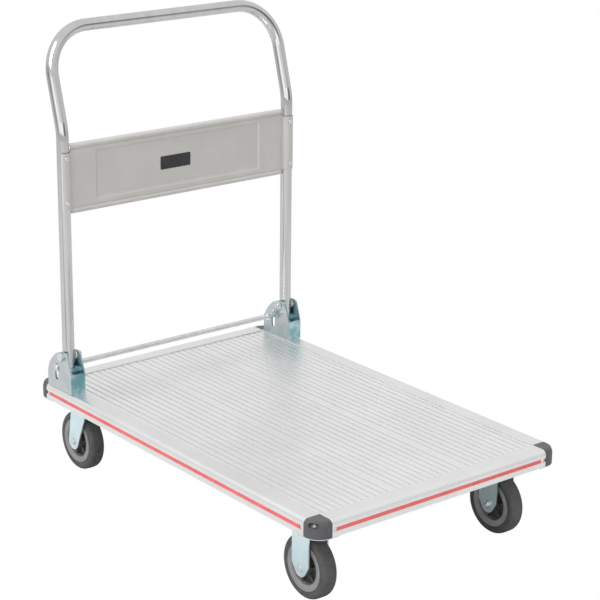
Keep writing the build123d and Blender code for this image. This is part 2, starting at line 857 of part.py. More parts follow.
def bracket(side):
    """Folded bracket: base, two side plates, front web and a stop lip in front of the leg."""
    y = side * leg_y
    outline = bracket_outline() - rod_slot() - Pos(tube_x, pivot_z) * Circle(pivot_radius + bracket_hole_fit)
    back = tube_x - bracket_back
    front = tube_x + bracket_front
    stop_z = frame_top + bracket_front_height
    body = box(back, front, y - bracket_half, y + bracket_half, frame_top, frame_top + bracket_sheet)
    body += box(front - bracket_sheet, front, y - bracket_half, y + bracket_half, frame_top, stop_z)
    body += box(front - stop_depth, front, y - bracket_half, y + bracket_half, stop_z - bracket_sheet, stop_z)
    for edge in (1, -1):
        body += side_sheet(outline, y + edge * bracket_half_gap, y + edge * bracket_half)
    for x in bracket_bolt_places():
        body -= rod_along_z(bolt_radius + bolt_fit, frame_top - cut, frame_top + bracket_sheet + cut, x, y)
    return body


def bracket_bolt_places():
    return (tube_x - bracket_back + bracket_bolt_x, tube_x + bracket_front - bracket_bolt_x)


def bracket_bolt(x, y):
    """Bolt through the bracket's base and the rail's top wall, with its nut in the rail."""
    seat = frame_top + bracket_sheet
    wall = frame_top - rail_top_wall
    shank = rod_along_z(bolt_radius, wall - bracket_bolt_end, seat, x, y)
    head = hex_z(bolt_across, seat, seat + bolt_head_height, x, y)
    return [head + shank, nut_z(wall - bolt_nut_height, x, y)]


def drill_for_brackets(solid, side):
    low = frame_top - rail_top_wall - cut
    for x in bracket_bolt_places():
        solid -= rod_along_z(bolt_radius + bolt_fit, low, frame_top + cut, x, side * leg_y)
    return solid


def pivot_bolt(side):
    """Hex bolt that the leg turns on, head outboard."""
    outer = side * (leg_y + bracket_half)
    inner = side * (leg_y - bracket_half)
    head = hex_y(hex_across, outer, outer + side * pivot_head_height, tube_x, pivot_z)
    end = inner - side * (pivot_nut_height + pivot_thread_end)
    return head + rod_y(pivot_radius, outer, end, tube_x, pivot_z)


def pivot_nut(side):
    inner = side * (leg_y - bracket_half)
    far = inner - side * pivot_nut_height
    return hex_y(hex_across, inner, far, tube_x, pivot_z) - rod_y(
        pivot_radius + running_fit, inner + side * cut, far - side * cut, tube_x, pivot_z
    )


def pivot_washers(side):
    """Two plastic washers that centre the leg in its bracket."""
    play = (washer_gap - washer_thickness) / 2
    for edge in (1, -1):
        y0 = side * leg_y + edge * (tube_radius + play)
        y1 = y0 + edge * washer_thickness
        yield rod_y(washer_radius, y0, y1, tube_x, pivot_z) - rod_y(
            pivot_radius + nut_fit, y0 - edge * cut, y1 + edge * cut, tube_x, pivot_z
        )


rod_half = leg_y + bracket_half + rod_overhang


def release_rod():
    rod = rod_y(rod_radius, -rod_half, rod_half, rod_x, rod_z)
    return chamfer(rod.edges().filter_by(GeomType.CIRCLE), rod_end_chamfer)


def rod_collar(side):
    """Set collar that keeps the rod centred between the brackets."""
    outer = side * (leg_y - bracket_half - collar_clear)
    inner = outer - side * collar_width
    collar = rod_y(collar_radius, outer, inner, rod_x, rod_z)
    collar = chamfer(collar.edges().filter_by(GeomType.CIRCLE), collar_chamfer)
    return collar - rod_y(rod_radius + running_fit, outer + side * cut, inner - side * cut, rod_x, rod_z)


def rod_clip(side):
    """Retaining ring at the rod's end, just outside the bracket."""
    inner = side * (leg_y + bracket_half + clip_gap)
    outer = inner + side * clip_width
    return rod_y(clip_radius, inner, outer, rod_x, rod_z) - rod_y(
        rod_radius + running_fit, inner - side * cut, outer + side * cut, rod_x, rod_z
    )


def return_spring(side):
    """Extension spring from the pivot bolt's end down to the rod: two hook rings and a close coil."""
    y = side * (leg_y - bracket_half - spring_offset)
    run_x = rod_x - tube_x
    run_z = rod_z - pivot_z
    run = (run_x**2 + run_z**2) ** 0.5
    top_ring = pivot_radius + hook_fit + spring_wire
    low_ring = rod_radius + hook_fit + spring_wire
    # Local frame: Z runs from the pivot to the rod, Y stays across the truck.
    local = Plane(origin=(tube_x, y, pivot_z), x_dir=(0, 1, 0), z_dir=(run_x, 0, run_z))
    wire = Circle(spring_wire)
    coil_start = top_ring + hook_link
    coil_end = run - low_ring - hook_link
    pitch = (coil_end - coil_start) / spring_coils
    helix = Helix(pitch=pitch, height=coil_end - coil_start, radius=spring_radius)
    coil = sweep(Plane(origin=helix @ 0, z_dir=helix % 0) * wire, path=helix, is_frenet=True)
    spring = Pos(0, 0, coil_start) * coil
    spring += hook(top_ring, 0, coil_start)
    spring += hook(low_ring, run, coil_end)
    return local.location * spring


def hook(radius, centre, end):
    """Ring round a pin at this height, with the straight that joins it to the coil's end."""
    ring = Pos(0, 0, centre) * Rot(90, 0, 0) * Rot(0, 90, 0) * Torus(radius, spring_wire)
    near = centre + radius if end > centre else centre - radius
    link = Plane(origin=(0, 0, near), z_dir=(spring_radius, 0, end - near)) * Circle(spring_wire)
    length = (spring_radius**2 + (end - near) ** 2) ** 0.5
    joints = Pos(0, 0, near) * Sphere(spring_wire) + Pos(spring_radius, 0, end) * Sphere(spring_wire)
    return ring + extrude(link, length) + joints


# ---------------------------------------------------------------- write the nodes


for node, (side, start, length) in rail_sides.items():
    solid = drill_for_gussets(rail(side, start, length))
    if side == "+y":
        solid = drill_for_brackets(solid, 1)
    if side == "-y":
        solid = drill_for_brackets(solid, -1)
    save(solid, node)
    save(stripe(side, start, length), stripe_names[node])

for place, solid in four_corners(corner_guard()).items():
    save(solid, f"corner_guard_{place}")
save(group(four_corners(guard_screw()).values()), "guard_screws")
save(group(four_corners(gusset()).values()), "corner_gussets")
frame_screws = [s for screw in gusset_screws() for s in four_corners(screw).values()]
save(group(frame_screws), "frame_screws")

for i, name in enumerate(("right", "middle", "left")):
    save(plank((i - 1) * plank_pitch), f"deck_plank_{name}")
for name, x in {"front": rigid_x, "middle": 0.0, "rear": swivel_x}.items():
    save(cross_channel(x, name != "middle"), f"cross_channel_{name}")

sides = {"left": 1, "right": -1}
caster_bolts = []
for name, side in sides.items():
    y = side * caster_y
    save(rigid_fork(y), f"rigid_fork_{name}")
    save(swivel_plate(y), f"swivel_plate_{name}")
    save(swivel_fork(y), f"swivel_fork_{name}")
    save(sleeve(axle_x, y), f"rear_sleeve_{name}")
    save(group(axle_bolt(axle_x, y)), f"rear_axle_bolt_{name}")
    for end, x in {"front": rigid_x, "rear": axle_x}.items():
        save(hub(x, y), f"{end}_hub_{name}")
        save(tyre(x, y), f"{end}_tyre_{name}")
    for x in (rigid_x, swivel_x):
        for bolt_x, bolt_y in plate_holes(x):
            caster_bolts += caster_bolt(bolt_x, side * bolt_y)
save(group(caster_bolts), "caster_bolts")
save(group(sleeve(rigid_x, side * caster_y) for side in (1, -1)), "front_sleeves")
save(group(piece for side in (1, -1) for piece in axle_bolt(rigid_x, side * caster_y)), "front_axle_bolts")
save(group(kingpin(side * caster_y) for side in (1, -1)), "swivel_kingpins")
save(group(ball for side in (1, -1) for ball in race_balls(side * caster_y)), "swivel_balls")

save(handle_tube(), "handle_tube")
save(group(tube_plug(side) for side in (1, -1)), "tube_plugs")
save(handle_panel(), "handle_panel")
save(group(panel_rivet(side, z) for side in (1, -1) for z in rivet_heights()), "panel_rivets")
save(label_plate(), "label_plate")

for name, side in sides.items():
    save(bracket(side), f"handle_bracket_{name}")
    save(return_spring(side), f"return_spring_{name}")
bracket_bolts = [p for side in (1, -1) for x in bracket_bolt_places() for p in bracket_bolt(x, side * leg_y)]
save(group(bracket_bolts), "bracket_bolts")
save(group(pivot_bolt(side) for side in (1, -1)), "pivot_bolts")
save(group(pivot_nut(side) for side in (1, -1)), "pivot_nuts")
save(group(washer for side in (1, -1) for washer in pivot_washers(side)), "pivot_washers")
save(release_rod(), "release_rod")
save(group(rod_collar(side) for side in (1, -1)), "rod_collars")
save(group(rod_clip(side) for side in (1, -1)), "rod_clips")

print(len(written), "nodes written")
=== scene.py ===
# %% [markdown]
# # A flatbed platform truck
# The truck is a deck of aluminium extrusions on four casters, with a folding tube handle.
# Its hard parts are already modelled and come in as a fixed frame. This script gives each of them
# its finish, adds the pieces whose look needs finer mesh work, and sets up a small studio.

# %% Load the frame
from math import cos, pi, radians, sin

import bmesh
import bpy
from mathutils import Matrix, Vector


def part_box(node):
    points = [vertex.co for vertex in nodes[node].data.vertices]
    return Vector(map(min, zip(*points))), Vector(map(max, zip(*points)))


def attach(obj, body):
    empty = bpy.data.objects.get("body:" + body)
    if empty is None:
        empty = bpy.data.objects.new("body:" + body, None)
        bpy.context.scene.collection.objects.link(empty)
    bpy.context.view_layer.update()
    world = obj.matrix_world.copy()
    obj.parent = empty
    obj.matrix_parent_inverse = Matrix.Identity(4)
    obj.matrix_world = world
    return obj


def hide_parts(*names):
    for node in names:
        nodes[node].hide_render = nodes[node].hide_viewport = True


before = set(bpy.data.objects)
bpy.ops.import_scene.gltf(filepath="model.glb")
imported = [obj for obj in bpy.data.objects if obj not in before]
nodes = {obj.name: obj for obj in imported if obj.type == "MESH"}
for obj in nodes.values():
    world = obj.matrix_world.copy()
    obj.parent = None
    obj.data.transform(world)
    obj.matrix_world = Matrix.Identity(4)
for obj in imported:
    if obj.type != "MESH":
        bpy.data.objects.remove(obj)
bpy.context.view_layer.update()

MM = 0.001

# %% [markdown]
# ## Camera
# A long lens from a little above keeps the truck's long edges almost parallel. The camera is
# placed by an azimuth, an elevation and a small roll. Its three axes go straight into a matrix,
# because a roll is harder to set with a tracking target.

# %% Camera
CAMERA_AZIMUTH = radians(51.25)
CAMERA_ELEVATION = radians(18.10)
CAMERA_ROLL = radians(0.57)
CAMERA_PLACE = Vector((2.94383, -2.33298, 1.66225))
CAMERA_LENS = 118.73  # millimetres, on a film 36 millimetres wide

back = Vector((
    sin(CAMERA_AZIMUTH) * cos(CAMERA_ELEVATION),
    -cos(CAMERA_AZIMUTH) * cos(CAMERA_ELEVATION),
    sin(CAMERA_ELEVATION),
))
level_right = Vector((cos(CAMERA_AZIMUTH), sin(CAMERA_AZIMUTH), 0))
level_up = back.cross(level_right)
right = level_right * cos(CAMERA_ROLL) + level_up * sin(CAMERA_ROLL)
up = back.cross(right)

camera_data = bpy.data.cameras.new("camera")
camera_data.lens = CAMERA_LENS
camera_data.sensor_width = 36
camera = bpy.data.objects.new("camera", camera_data)
bpy.context.collection.objects.link(camera)
camera_axes = Matrix((right, up, back)).transposed().to_4x4()
camera.matrix_world = Matrix.Translation(CAMERA_PLACE) @ camera_axes
bpy.context.scene.camera = camera
print("camera distance", round(CAMERA_PLACE.length, 3), "m")

# %% [markdown]
# ## Small helpers for node trees
# Every finish below is a Principled shader whose colour, roughness and bump come from noise in
# object space. Painted textures would need unwrapped meshes, and noise needs none. A few short
# helpers keep the node trees readable. The owner of a tree is a material, or later the world.

# %% Add and link nodes
MIX_FACTOR, MIX_FIRST, MIX_SECOND = 0, 6, 7  # inputs of a colour mix node
MIX_RESULT = 2  # its colour output


def add_node(owner, kind, inputs=None, **settings):
    made = owner.node_tree.nodes.new(kind)
    for key, value in settings.items():
        setattr(made, key, value)
    for key, value in (inputs or {}).items():
        made.inputs[key].default_value = value
    return made


def link(owner, source, target):
    owner.node_tree.links.new(source, target)


# %% [markdown]
# Noise is the raw material of every finish: stretched noise gives lines, coarse noise gives
# clouds and fine noise gives grain. A range node or a colour ramp then turns its middle values,
# where nearly all of a noise lies, into roughness or colour.

# %% Noise and colours
def stretched_noise(material, scale, detail=4.0, roughness=0.55):
    """Noise in object space; scale is cells per metre, one number or one for each axis."""
    if not isinstance(scale, tuple):
        scale = (scale, scale, scale)
    place = add_node(material, "ShaderNodeTexCoord")
    mapping = add_node(material, "ShaderNodeMapping", {"Scale": scale})
    look = {"Scale": 1.0, "Detail": detail, "Roughness": roughness}
    noise = add_node(material, "ShaderNodeTexNoise", look)
    link(material, place.outputs["Object"], mapping.inputs["Vector"])
    link(material, mapping.outputs["Vector"], noise.inputs["Vector"])
    return noise.outputs["Fac"]


def spread(material, factor, low, high, start=0.3, end=0.7):
    """Map the middle of a noise onto the range low to high."""
    limits = {"From Min": start, "From Max": end, "To Min": low, "To Max": high}
    span = add_node(material, "ShaderNodeMapRange", limits)
    link(material, factor, span.inputs["Value"])
    return span.outputs["Result"]


def grey(value):
    return (value, value, value)


def scaled(shade, factor):
    return tuple(channel * factor for channel in shade)


def colours(owner, factor, stops):
    """Colour ramp: stops are (position, (red, green, blue))."""
    ramp = add_node(owner, "ShaderNodeValToRGB")
    points = ramp.color_ramp.elements
    while len(points) < len(stops):
        points.new(0.5)
    for point, (position, colour) in zip(points, stops):
        point.position = position
        point.color = (*colour, 1)
    link(owner, factor, ramp.inputs["Fac"])
    return ramp.outputs["Color"]


def mixed(owner, factor, first, second):
    """Colour between a socket and another socket or a fixed colour."""
    mix = add_node(owner, "ShaderNodeMix", data_type="RGBA")
    link(owner, factor, mix.inputs[MIX_FACTOR])
    link(owner, first, mix.inputs[MIX_FIRST])
    if isinstance(second, tuple):
        mix.inputs[MIX_SECOND].default_value = (*second, 1)
    else:
        link(owner, second, mix.inputs[MIX_SECOND])
    return mix.outputs[MIX_RESULT]


def math_node(material, operation, *sources):
    node = add_node(material, "ShaderNodeMath", operation=operation)
    for source, target in zip(sources, node.inputs):
        link(material, source, target)
    return node.outputs["Value"]


def axis_of(material, source, axis):
    """One coordinate of a vector socket."""
    split = add_node(material, "ShaderNodeSeparateXYZ")
    link(material, source, split.inputs["Vector"])
    return split.outputs[axis]


def object_axis(material, axis):
    """One object-space coordinate, in metres."""
    place = add_node(material, "ShaderNodeTexCoord")
    return axis_of(material, place.outputs["Object"], axis)


# %% [markdown]
# Bump nodes tilt the light on the surface and leave the mesh as it is. The bevel node does the
# same for hard edges: it rounds them for the light alone, so that a pressed or extruded edge
# catches a thin highlight without any change of the piece.

# %% Bump and soft edges
EDGE_SAMPLES = 4


def add_bump(material, height, strength, distance, onto=None):
    """Bump on the shader's normal; onto is an earlier bump that this one builds on."""
    bump = add_node(material, "ShaderNodeBump", {"Strength": strength, "Distance": distance})
    link(material, height, bump.inputs["Height"])
    if onto is not None:
        link(material, onto, bump.inputs["Normal"])
    return bump.outputs["Normal"]


def soft_edges(material, radius):
    """Normal that rounds a node's hard edges for the light, as a broken or worn edge is."""
    edge = add_node(material, "ShaderNodeBevel", {"Radius": radius}, samples=EDGE_SAMPLES)
    return edge.outputs["Normal"]


# %% [markdown]
# A value that is the same all over a surface is set straight on the shader. A frame node may
# have several material slots or none, so the last helper fills them all with one finish.

# %% Start a finish and give it to nodes
def new_finish(name, metallic=0.0, **inputs):
    """Material with a Principled shader whose constant inputs are set here."""
    material = bpy.data.materials.new(name)
    material.use_nodes = True
    shader = material.node_tree.nodes["Principled BSDF"]
    shader.inputs["Metallic"].default_value = metallic
    for key, value in inputs.items():
        shader.inputs[key.replace("_", " ")].default_value = value
    return material, shader.inputs


def vary_roughness(material, inputs, factor, low, high):
    link(material, spread(material, factor, low, high), inputs["Roughness"])


def coat_node(name, material):
    """Give a frame node this finish in all its slots."""
    mesh = nodes[name].data
    if not mesh.materials:
        mesh.materials.append(material)
    for index in range(len(mesh.materials)):
        mesh.materials[index] = material


def coat_nodes(material, *starts):
    """Give the finish to every frame node whose name starts with one of these words."""
    names = [n for n in nodes if n.startswith(starts)]
    for name in names:
        coat_node(name, material)
    print(material.name, "on", len(names), "nodes")


# %% [markdown]
# ## Aluminium
# An extrusion leaves its die with faint lines along its length and is then anodised to a soft
# satin. Noise that is stretched a few hundred times along the extrusion gives those lines. The
# planks and side rails run along X, the end rails and channels along Y, so the maker takes a
# direction. The planks' grooves get painted shade, a darker colour where shade falls in them:
# their floors lie a little under the tread, so a height in the frame tells them apart, which is
# simpler than painting a mask.

# %% Aluminium
LINE_LENGTH, LINE_FINENESS = 3, 900  # cells per metre along and across the die lines
GROOVE_PAINTED_SHADE = 0.86
GROOVE_FADE = 0.7 * MM


def extruded_aluminium(name, along, shade, roughness, groove_top=None):
    line_scale = tuple(LINE_LENGTH if axis == along else LINE_FINENESS for axis in "xyz")
    material, inputs = new_finish(name, metallic=1.0)
    lines = stretched_noise(material, line_scale, detail=3)
    clouds = stretched_noise(material, 9, detail=5)
    colour = colours(material, clouds, [(0.35, scaled(shade, 0.95)), (0.65, shade)])
    # painted shade in the planks' grooves: the colour darkens towards the groove floors
    if groove_top is not None:
        groove_floor = groove_top - GROOVE_FADE
        depth = spread(material, object_axis(material, "Z"), 1.0, 0.0, groove_floor, groove_top)
        colour = mixed(material, depth, colour, scaled(shade, GROOVE_PAINTED_SHADE))
    link(material, colour, inputs["Base Color"])
    vary_roughness(material, inputs, lines, roughness - 0.05, roughness + 0.08)
    normal = add_bump(material, lines, 0.10, 0.3 * MM, onto=soft_edges(material, 0.6 * MM))
    fine = stretched_noise(material, 2500, detail=2)
    link(material, add_bump(material, fine, 0.05, 0.1 * MM, onto=normal), inputs["Normal"])
    return material


# %% Planks, rails and channels
tread_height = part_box("deck_plank_middle")[1][2]
groove_top = tread_height - 0.3 * MM
deck_satin = extruded_aluminium("deck_satin", "x", grey(0.93), 0.36, groove_top)
coat_nodes(deck_satin, "deck_plank")
coat_nodes(extruded_aluminium("rail_satin_x", "x", grey(0.88), 0.42), "side_rail")
coat_nodes(extruded_aluminium("rail_satin_y", "y", grey(0.88), 0.42), "end_rail")
coat_nodes(extruded_aluminium("channel_mill", "y", (0.70, 0.71, 0.72), 0.45), "cross_channel")

# %% [markdown]
# ## Plastic pieces
# The insert strips are glossy coloured PVC. The corner guards are moulded with a fine grain, so
# they get a bump of about half a millimetre. The hubs and the legs' plugs are plain moulded
# plastic. One maker serves all of them, since only the shade, the gloss and the grain differ.

# %% Plastics
def moulded_plastic(name, shade, roughness, grain_scale, grain_strength):
    material, inputs = new_finish(name, Specular_IOR_Level=0.5)
    clouds = stretched_noise(material, 35, detail=6)
    worn = tuple(min(1.0, channel * 1.25 + 0.01) for channel in shade)
    link(material, colours(material, clouds, [(0.35, shade), (0.72, worn)]), inputs["Base Color"])
    vary_roughness(material, inputs, clouds, roughness - 0.06, roughness + 0.10)
    grain = stretched_noise(material, grain_scale, detail=2)
    normal = add_bump(material, grain, grain_strength, 0.2 * MM, onto=soft_edges(material, 0.8 * MM))
    link(material, normal, inputs["Normal"])
    return material


# %% Strips, guards, hubs and washers
strip_red = moulded_plastic("strip_red", (0.74, 0.115, 0.115), 0.30, 300, 0.06)
guard_charcoal = moulded_plastic("guard_charcoal", (0.072, 0.072, 0.077), 0.48, 1800, 0.6)
hub_dark = moulded_plastic("hub_dark", (0.070, 0.068, 0.068), 0.42, 900, 0.2)
rim_grey = moulded_plastic("rim_grey", (0.245, 0.245, 0.25), 0.45, 900, 0.2)
washer_nylon = moulded_plastic("washer_nylon", (0.75, 0.74, 0.70), 0.4, 900, 0.1)
coat_nodes(strip_red, "stripe_")
coat_nodes(guard_charcoal, "corner_guard")
coat_nodes(hub_dark, "front_hub", "rear_hub", "tube_plugs")
coat_nodes(washer_nylon, "pivot_washers")

# %% [markdown]
# ## Zinc-plated steel
# The brackets and forks are pressed from sheet and zinc plated with a blue passivation. That
# layer is a thin film, so the steel takes slow drifts of blue, green and faint straw. A soft
# noise drives a colour ramp through those tints over a metallic base. The brackets' hollows and
# front web get painted shade: a darker teal, the passivation's own blue with painted shade in it,
# stands where shade falls. An ambient occlusion node finds the hollows, and the surface's own
# normal finds the web, the side that faces forward.

# %% Zinc
def painted_shade_places(material):
    """Mask of painted shade: one in the hollows of a bracket and on its front web, nought elsewhere.
    """
    hollow = add_node(material, "ShaderNodeAmbientOcclusion", {"Distance": 0.05}, samples=6)
    facing = add_node(material, "ShaderNodeNewGeometry")
    forward = axis_of(material, facing.outputs["Normal"], "X")
    web = spread(material, forward, 0.0, 1.0, 0.5, 0.9)
    inside = spread(material, hollow.outputs["AO"], 1.0, 0.0, 0.25, 0.75)
    return math_node(material, "MAXIMUM", web, inside)


def zinc_plate(name, stops, roughness, cloud_scale=28, shade_stops=None):
    material, inputs = new_finish(name, metallic=1.0)
    clouds = stretched_noise(material, cloud_scale, detail=3)
    colour = colours(material, clouds, stops)
    # painted shade: a darker teal, mixed in where the mask marks the hollows and the front web
    if shade_stops is not None:
        deep = colours(material, clouds, shade_stops)
        colour = mixed(material, painted_shade_places(material), colour, deep)
    link(material, colour, inputs["Base Color"])
    rub = stretched_noise(material, 220, detail=6)
    vary_roughness(material, inputs, rub, roughness - 0.04, roughness + 0.08)
    edges = soft_edges(material, 0.5 * MM)
    link(material, add_bump(material, rub, 0.05, 0.3 * MM, onto=edges), inputs["Normal"])
    return material


# %% Forks, brackets, bolts and springs
FORK_ZINC = [(0.30, (0.67, 0.84, 0.90)), (0.50, (0.74, 0.89, 0.94)), (0.72, (0.79, 0.91, 0.94))]
BRACKET_ZINC = [(0.30, (0.50, 0.57, 0.59)), (0.50, (0.58, 0.62, 0.63)), (0.72, (0.62, 0.63, 0.62))]
# the guard screws sit in the guards' recesses: this zinc is darker than the plain zinc as painted
# shade, and rougher
RECESS_SHADE_ZINC = [(0.35, (0.24, 0.24, 0.25)), (0.65, (0.40, 0.40, 0.41))]
PLAIN_ZINC = [(0.35, (0.66, 0.68, 0.70)), (0.65, (0.78, 0.79, 0.80))]
# the passivation's blue darkened as painted shade, for the brackets' hollows and front web
PAINTED_SHADE_TEAL = [(0.38, (0.18, 0.40, 0.45)), (0.50, (0.27, 0.49, 0.54)), (0.62, (0.50, 0.68, 0.71))]
fork_zinc = zinc_plate("fork_zinc", FORK_ZINC, 0.34)
bracket_zinc = zinc_plate("bracket_zinc", BRACKET_ZINC, 0.30, shade_stops=PAINTED_SHADE_TEAL)
plain_zinc = zinc_plate("zinc_plain", PLAIN_ZINC, 0.30, cloud_scale=60)
recess_shade_zinc = zinc_plate("zinc_recess_shade", RECESS_SHADE_ZINC, 0.42, cloud_scale=90)
coat_nodes(fork_zinc, "rigid_fork", "swivel_plate", "swivel_fork")
coat_nodes(bracket_zinc, "handle_bracket")
coat_nodes(recess_shade_zinc, "guard_screws")
coat_nodes(plain_zinc, "caster_bolts", "bracket_bolts", "pivot_bolts", "pivot_nuts")
coat_nodes(plain_zinc, "front_axle_bolts", "rear_axle_bolt", "swivel_kingpins")
coat_nodes(plain_zinc, "corner_gussets", "frame_screws")
coat_nodes(plain_zinc, "swivel_balls", "front_sleeves", "rear_sleeve", "panel_rivets")
coat_nodes(plain_zinc, "return_spring", "release_rod", "rod_collars", "rod_clips")

# %% [markdown]
# ## Chrome tube
# The handle is bright plated tube. Chrome has almost no colour of its own, and what shows is the
# room, so the finish is a nearly smooth metal with faint polishing lines, and the studio below
# has dark and light stretches for it to reflect.

# %% Chrome
def bright_chrome(name):
    material, inputs = new_finish(name, metallic=1.0)
    haze = stretched_noise(material, (60, 60, 8), detail=4)
    plating = colours(material, haze, [(0.3, grey(0.58)), (0.7, grey(0.65))])
    link(material, plating, inputs["Base Color"])
    vary_roughness(material, inputs, haze, 0.07, 0.13)
    polish = stretched_noise(material, (1500, 1500, 6), detail=2)
    link(material, add_bump(material, polish, 0.04, 0.2 * MM), inputs["Normal"])
    return material


coat_nodes(bright_chrome("tube_chrome"), "handle_tube")

# %% [markdown]
# ## Painted panel and label
# The panel is steel sheet with a satin grey coat that has a slight orange peel. A little metal and
# a thin clear coat over the noise give the satin, where plain plastic would look chalky. The
# label is a glossy black plate, left blank.

# %% Paint
def coated_sheet(name, shade, roughness):
    material, inputs = new_finish(name, metallic=0.35, Coat_Weight=0.15, Coat_Roughness=0.3)
    clouds = stretched_noise(material, 14, detail=5)
    coat = colours(material, clouds, [(0.35, shade), (0.65, scaled(shade, 1.07))])
    link(material, coat, inputs["Base Color"])
    vary_roughness(material, inputs, clouds, roughness - 0.04, roughness + 0.08)
    peel = stretched_noise(material, 420, detail=2)
    link(material, add_bump(material, peel, 0.12, 0.4 * MM), inputs["Normal"])
    return material


panel_grey = coated_sheet("panel_grey", (0.525, 0.51, 0.49), 0.38)
coat_nodes(panel_grey, "handle_panel")
label_black = moulded_plastic("label_black", (0.012, 0.012, 0.014), 0.2, 400, 0.03)
coat_nodes(label_black, "label_plate")

# %% [markdown]
# ## Making a piece
# New pieces are made as meshes, given a finish and tied to the body that carries them, and the
# plain solid under them is hidden. Hard corners are marked by angle, and the rest is smooth.

# %% Piece maker
def make_piece(name, mesh_data, material, body, node, sharp=32):
    mesh = bpy.data.meshes.new(name)
    if isinstance(mesh_data, bmesh.types.BMesh):
        bmesh.ops.recalc_face_normals(mesh_data, faces=mesh_data.faces)
        mesh_data.to_mesh(mesh)
        mesh_data.free()
    else:
        mesh.from_pydata(*mesh_data)
    for face in mesh.polygons:
        face.use_smooth = True
    mesh.set_sharp_from_angle(angle=radians(sharp))
    mesh.materials.append(material)
    piece = bpy.data.objects.new(name, mesh)
    bpy.context.collection.objects.link(piece)
    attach(piece, body)
    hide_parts(node)
    return piece


# %% [markdown]
# ## Pressed panel
# The panel is one pressing. Its top and bottom edges are rolled into narrow beads that stiffen
# it, its field is pushed back a few millimetres behind a soft slope, and its ends curl round the
# front of each leg. The sheet is made as one grid: the columns follow the section across the
# truck, legs included, and the rows follow the section up the panel. Each point is moved back by
# the beads and the field, and the sheet is then given its thickness.

# %% Panel sizes
panel_low, panel_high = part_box("handle_panel")
tube_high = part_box("handle_tube")[1]
TUBE_RADIUS = 12.7 * MM
SHEET = 1.5 * MM
WRAP_RADIUS = TUBE_RADIUS + SHEET + 0.15 * MM
WRAP_START, WRAP_END = radians(-80), radians(44)
WRAP_STEPS = 22
WRAP_END_GAP = 12 * MM
WRAP_REACH = 2 * MM  # rows this near a wrap's end are pulled onto the end
BEAD_HEIGHT = 9 * MM
BEAD_RISE = 2.0 * MM
BEAD_VALLEY = 1.0 * MM
VALLEY_HALF = 1.2 * MM
FIELD_DEPTH = 3 * MM
FIELD_INSET = 75.7 * MM
FIELD_EDGE = 17.25 * MM
SIDE_SLOPE, LOW_SLOPE, HIGH_SLOPE = 4 * MM, 10 * MM, 4 * MM
FACE_FORWARD = 2.5 * MM  # of the legs' axis
leg_y = tube_high[1] - TUBE_RADIUS
leg_x = panel_high[0] - WRAP_RADIUS
panel_face = leg_x + FACE_FORWARD
lip_back = panel_low[0]
print("panel", round(panel_high[2] - panel_low[2], 4), "m high, legs at y", round(leg_y, 4))

# %% [markdown]
# A press leaves no sharp steps. A smooth step curve gives each slope of the field, and half a
# sine wave gives the roll of a bead. The place of any point is then a short sum, and no curve has
# to be drawn by hand.

# %% Field and beads
def soft_step(value):
    value = max(0.0, min(1.0, value))
    return value * value * (3 - 2 * value)


def field_push(y, z):
    """How far the pressed field lies behind the face here."""
    across = soft_step((leg_y - FIELD_INSET - abs(y)) / SIDE_SLOPE)
    from_low = soft_step((z - panel_low[2] - FIELD_EDGE) / LOW_SLOPE)
    from_high = soft_step((panel_high[2] - FIELD_EDGE - z) / HIGH_SLOPE)
    return FIELD_DEPTH * across * from_low * from_high


def bead_push(z):
    """Forward roll of the edge beads, with a narrow valley where each meets the flat sheet."""
    edge = min(z - panel_low[2], panel_high[2] - z)
    if edge < BEAD_HEIGHT:
        return BEAD_RISE * sin(pi * edge / BEAD_HEIGHT)
    return -BEAD_VALLEY * max(0.0, 1 - abs(edge - BEAD_HEIGHT - VALLEY_HALF) / VALLEY_HALF)


# %% [markdown]
# A grid can bend only where it has columns and rows. They lie close together on the slopes, on
# the beads and round the legs, and far apart on the flat, which keeps the mesh light.

# %% Columns and rows of the sheet
def steps_between(marks, counts):
    """Even steps between each mark and the next, as many as its count."""
    for start, end, count in zip(marks, marks[1:], counts):
        for i in range(count + 1):
            yield start + (end - start) * i / count


def section_columns():
    """Places across the truck as (x of the face, y, is wrap), from the right leg to the left."""
    turns = steps_between((WRAP_START, WRAP_END), (WRAP_STEPS,))
    left = [(leg_x + WRAP_RADIUS * cos(t), leg_y + WRAP_RADIUS * sin(t), True) for t in turns]
    half = leg_y - WRAP_RADIUS - 0.5 * MM
    marks = (0, half - 58 * MM, half - 52 * MM, half)
    flat = {round(y, 6) for y in steps_between(marks, (44, 6, 12))}
    slope = leg_y - FIELD_INSET - 6 * MM  # a column on every millimetre of the field's side slope
    flat.update(round(slope + i * MM, 6) for i in range(9))
    flat = sorted(flat)
    middle = [(panel_face, y, False) for y in [-y for y in reversed(flat) if y] + flat]
    right = [(x, -y, wrap) for x, y, wrap in reversed(left)]
    return right + middle + left


def section_rows():
    """Places up the panel as (how far back the lip has turned, z)."""
    low, high = panel_low[2], panel_high[2]
    height = high - low
    depth = panel_face - lip_back
    valley_end = BEAD_HEIGHT + 2 * VALLEY_HALF
    slope_end = FIELD_EDGE + LOW_SLOPE
    marks = (0, BEAD_HEIGHT, valley_end, FIELD_EDGE, slope_end)
    lower = set(steps_between(marks, (9, 4, 3, 9)))
    upper = {height - v for v in lower}
    between = {slope_end + (height - 2 * slope_end) * i / 14 for i in range(15)}
    face = [(0.0, low + v) for v in sorted(lower | upper | between)]
    lips = [depth * k for k in (1.0, 0.75, 0.5, 0.25, 0.1)]
    return [(b, low) for b in lips] + face + [(b, high) for b in reversed(lips)]


# %% [markdown]
# The grid is filled with faces wherever all four corners exist, so the shorter wraps and the
# turned lips come out of the same loop. A solidify modifier gives the sheet its thickness, and a
# narrow bevel takes the knife edge off its rim.

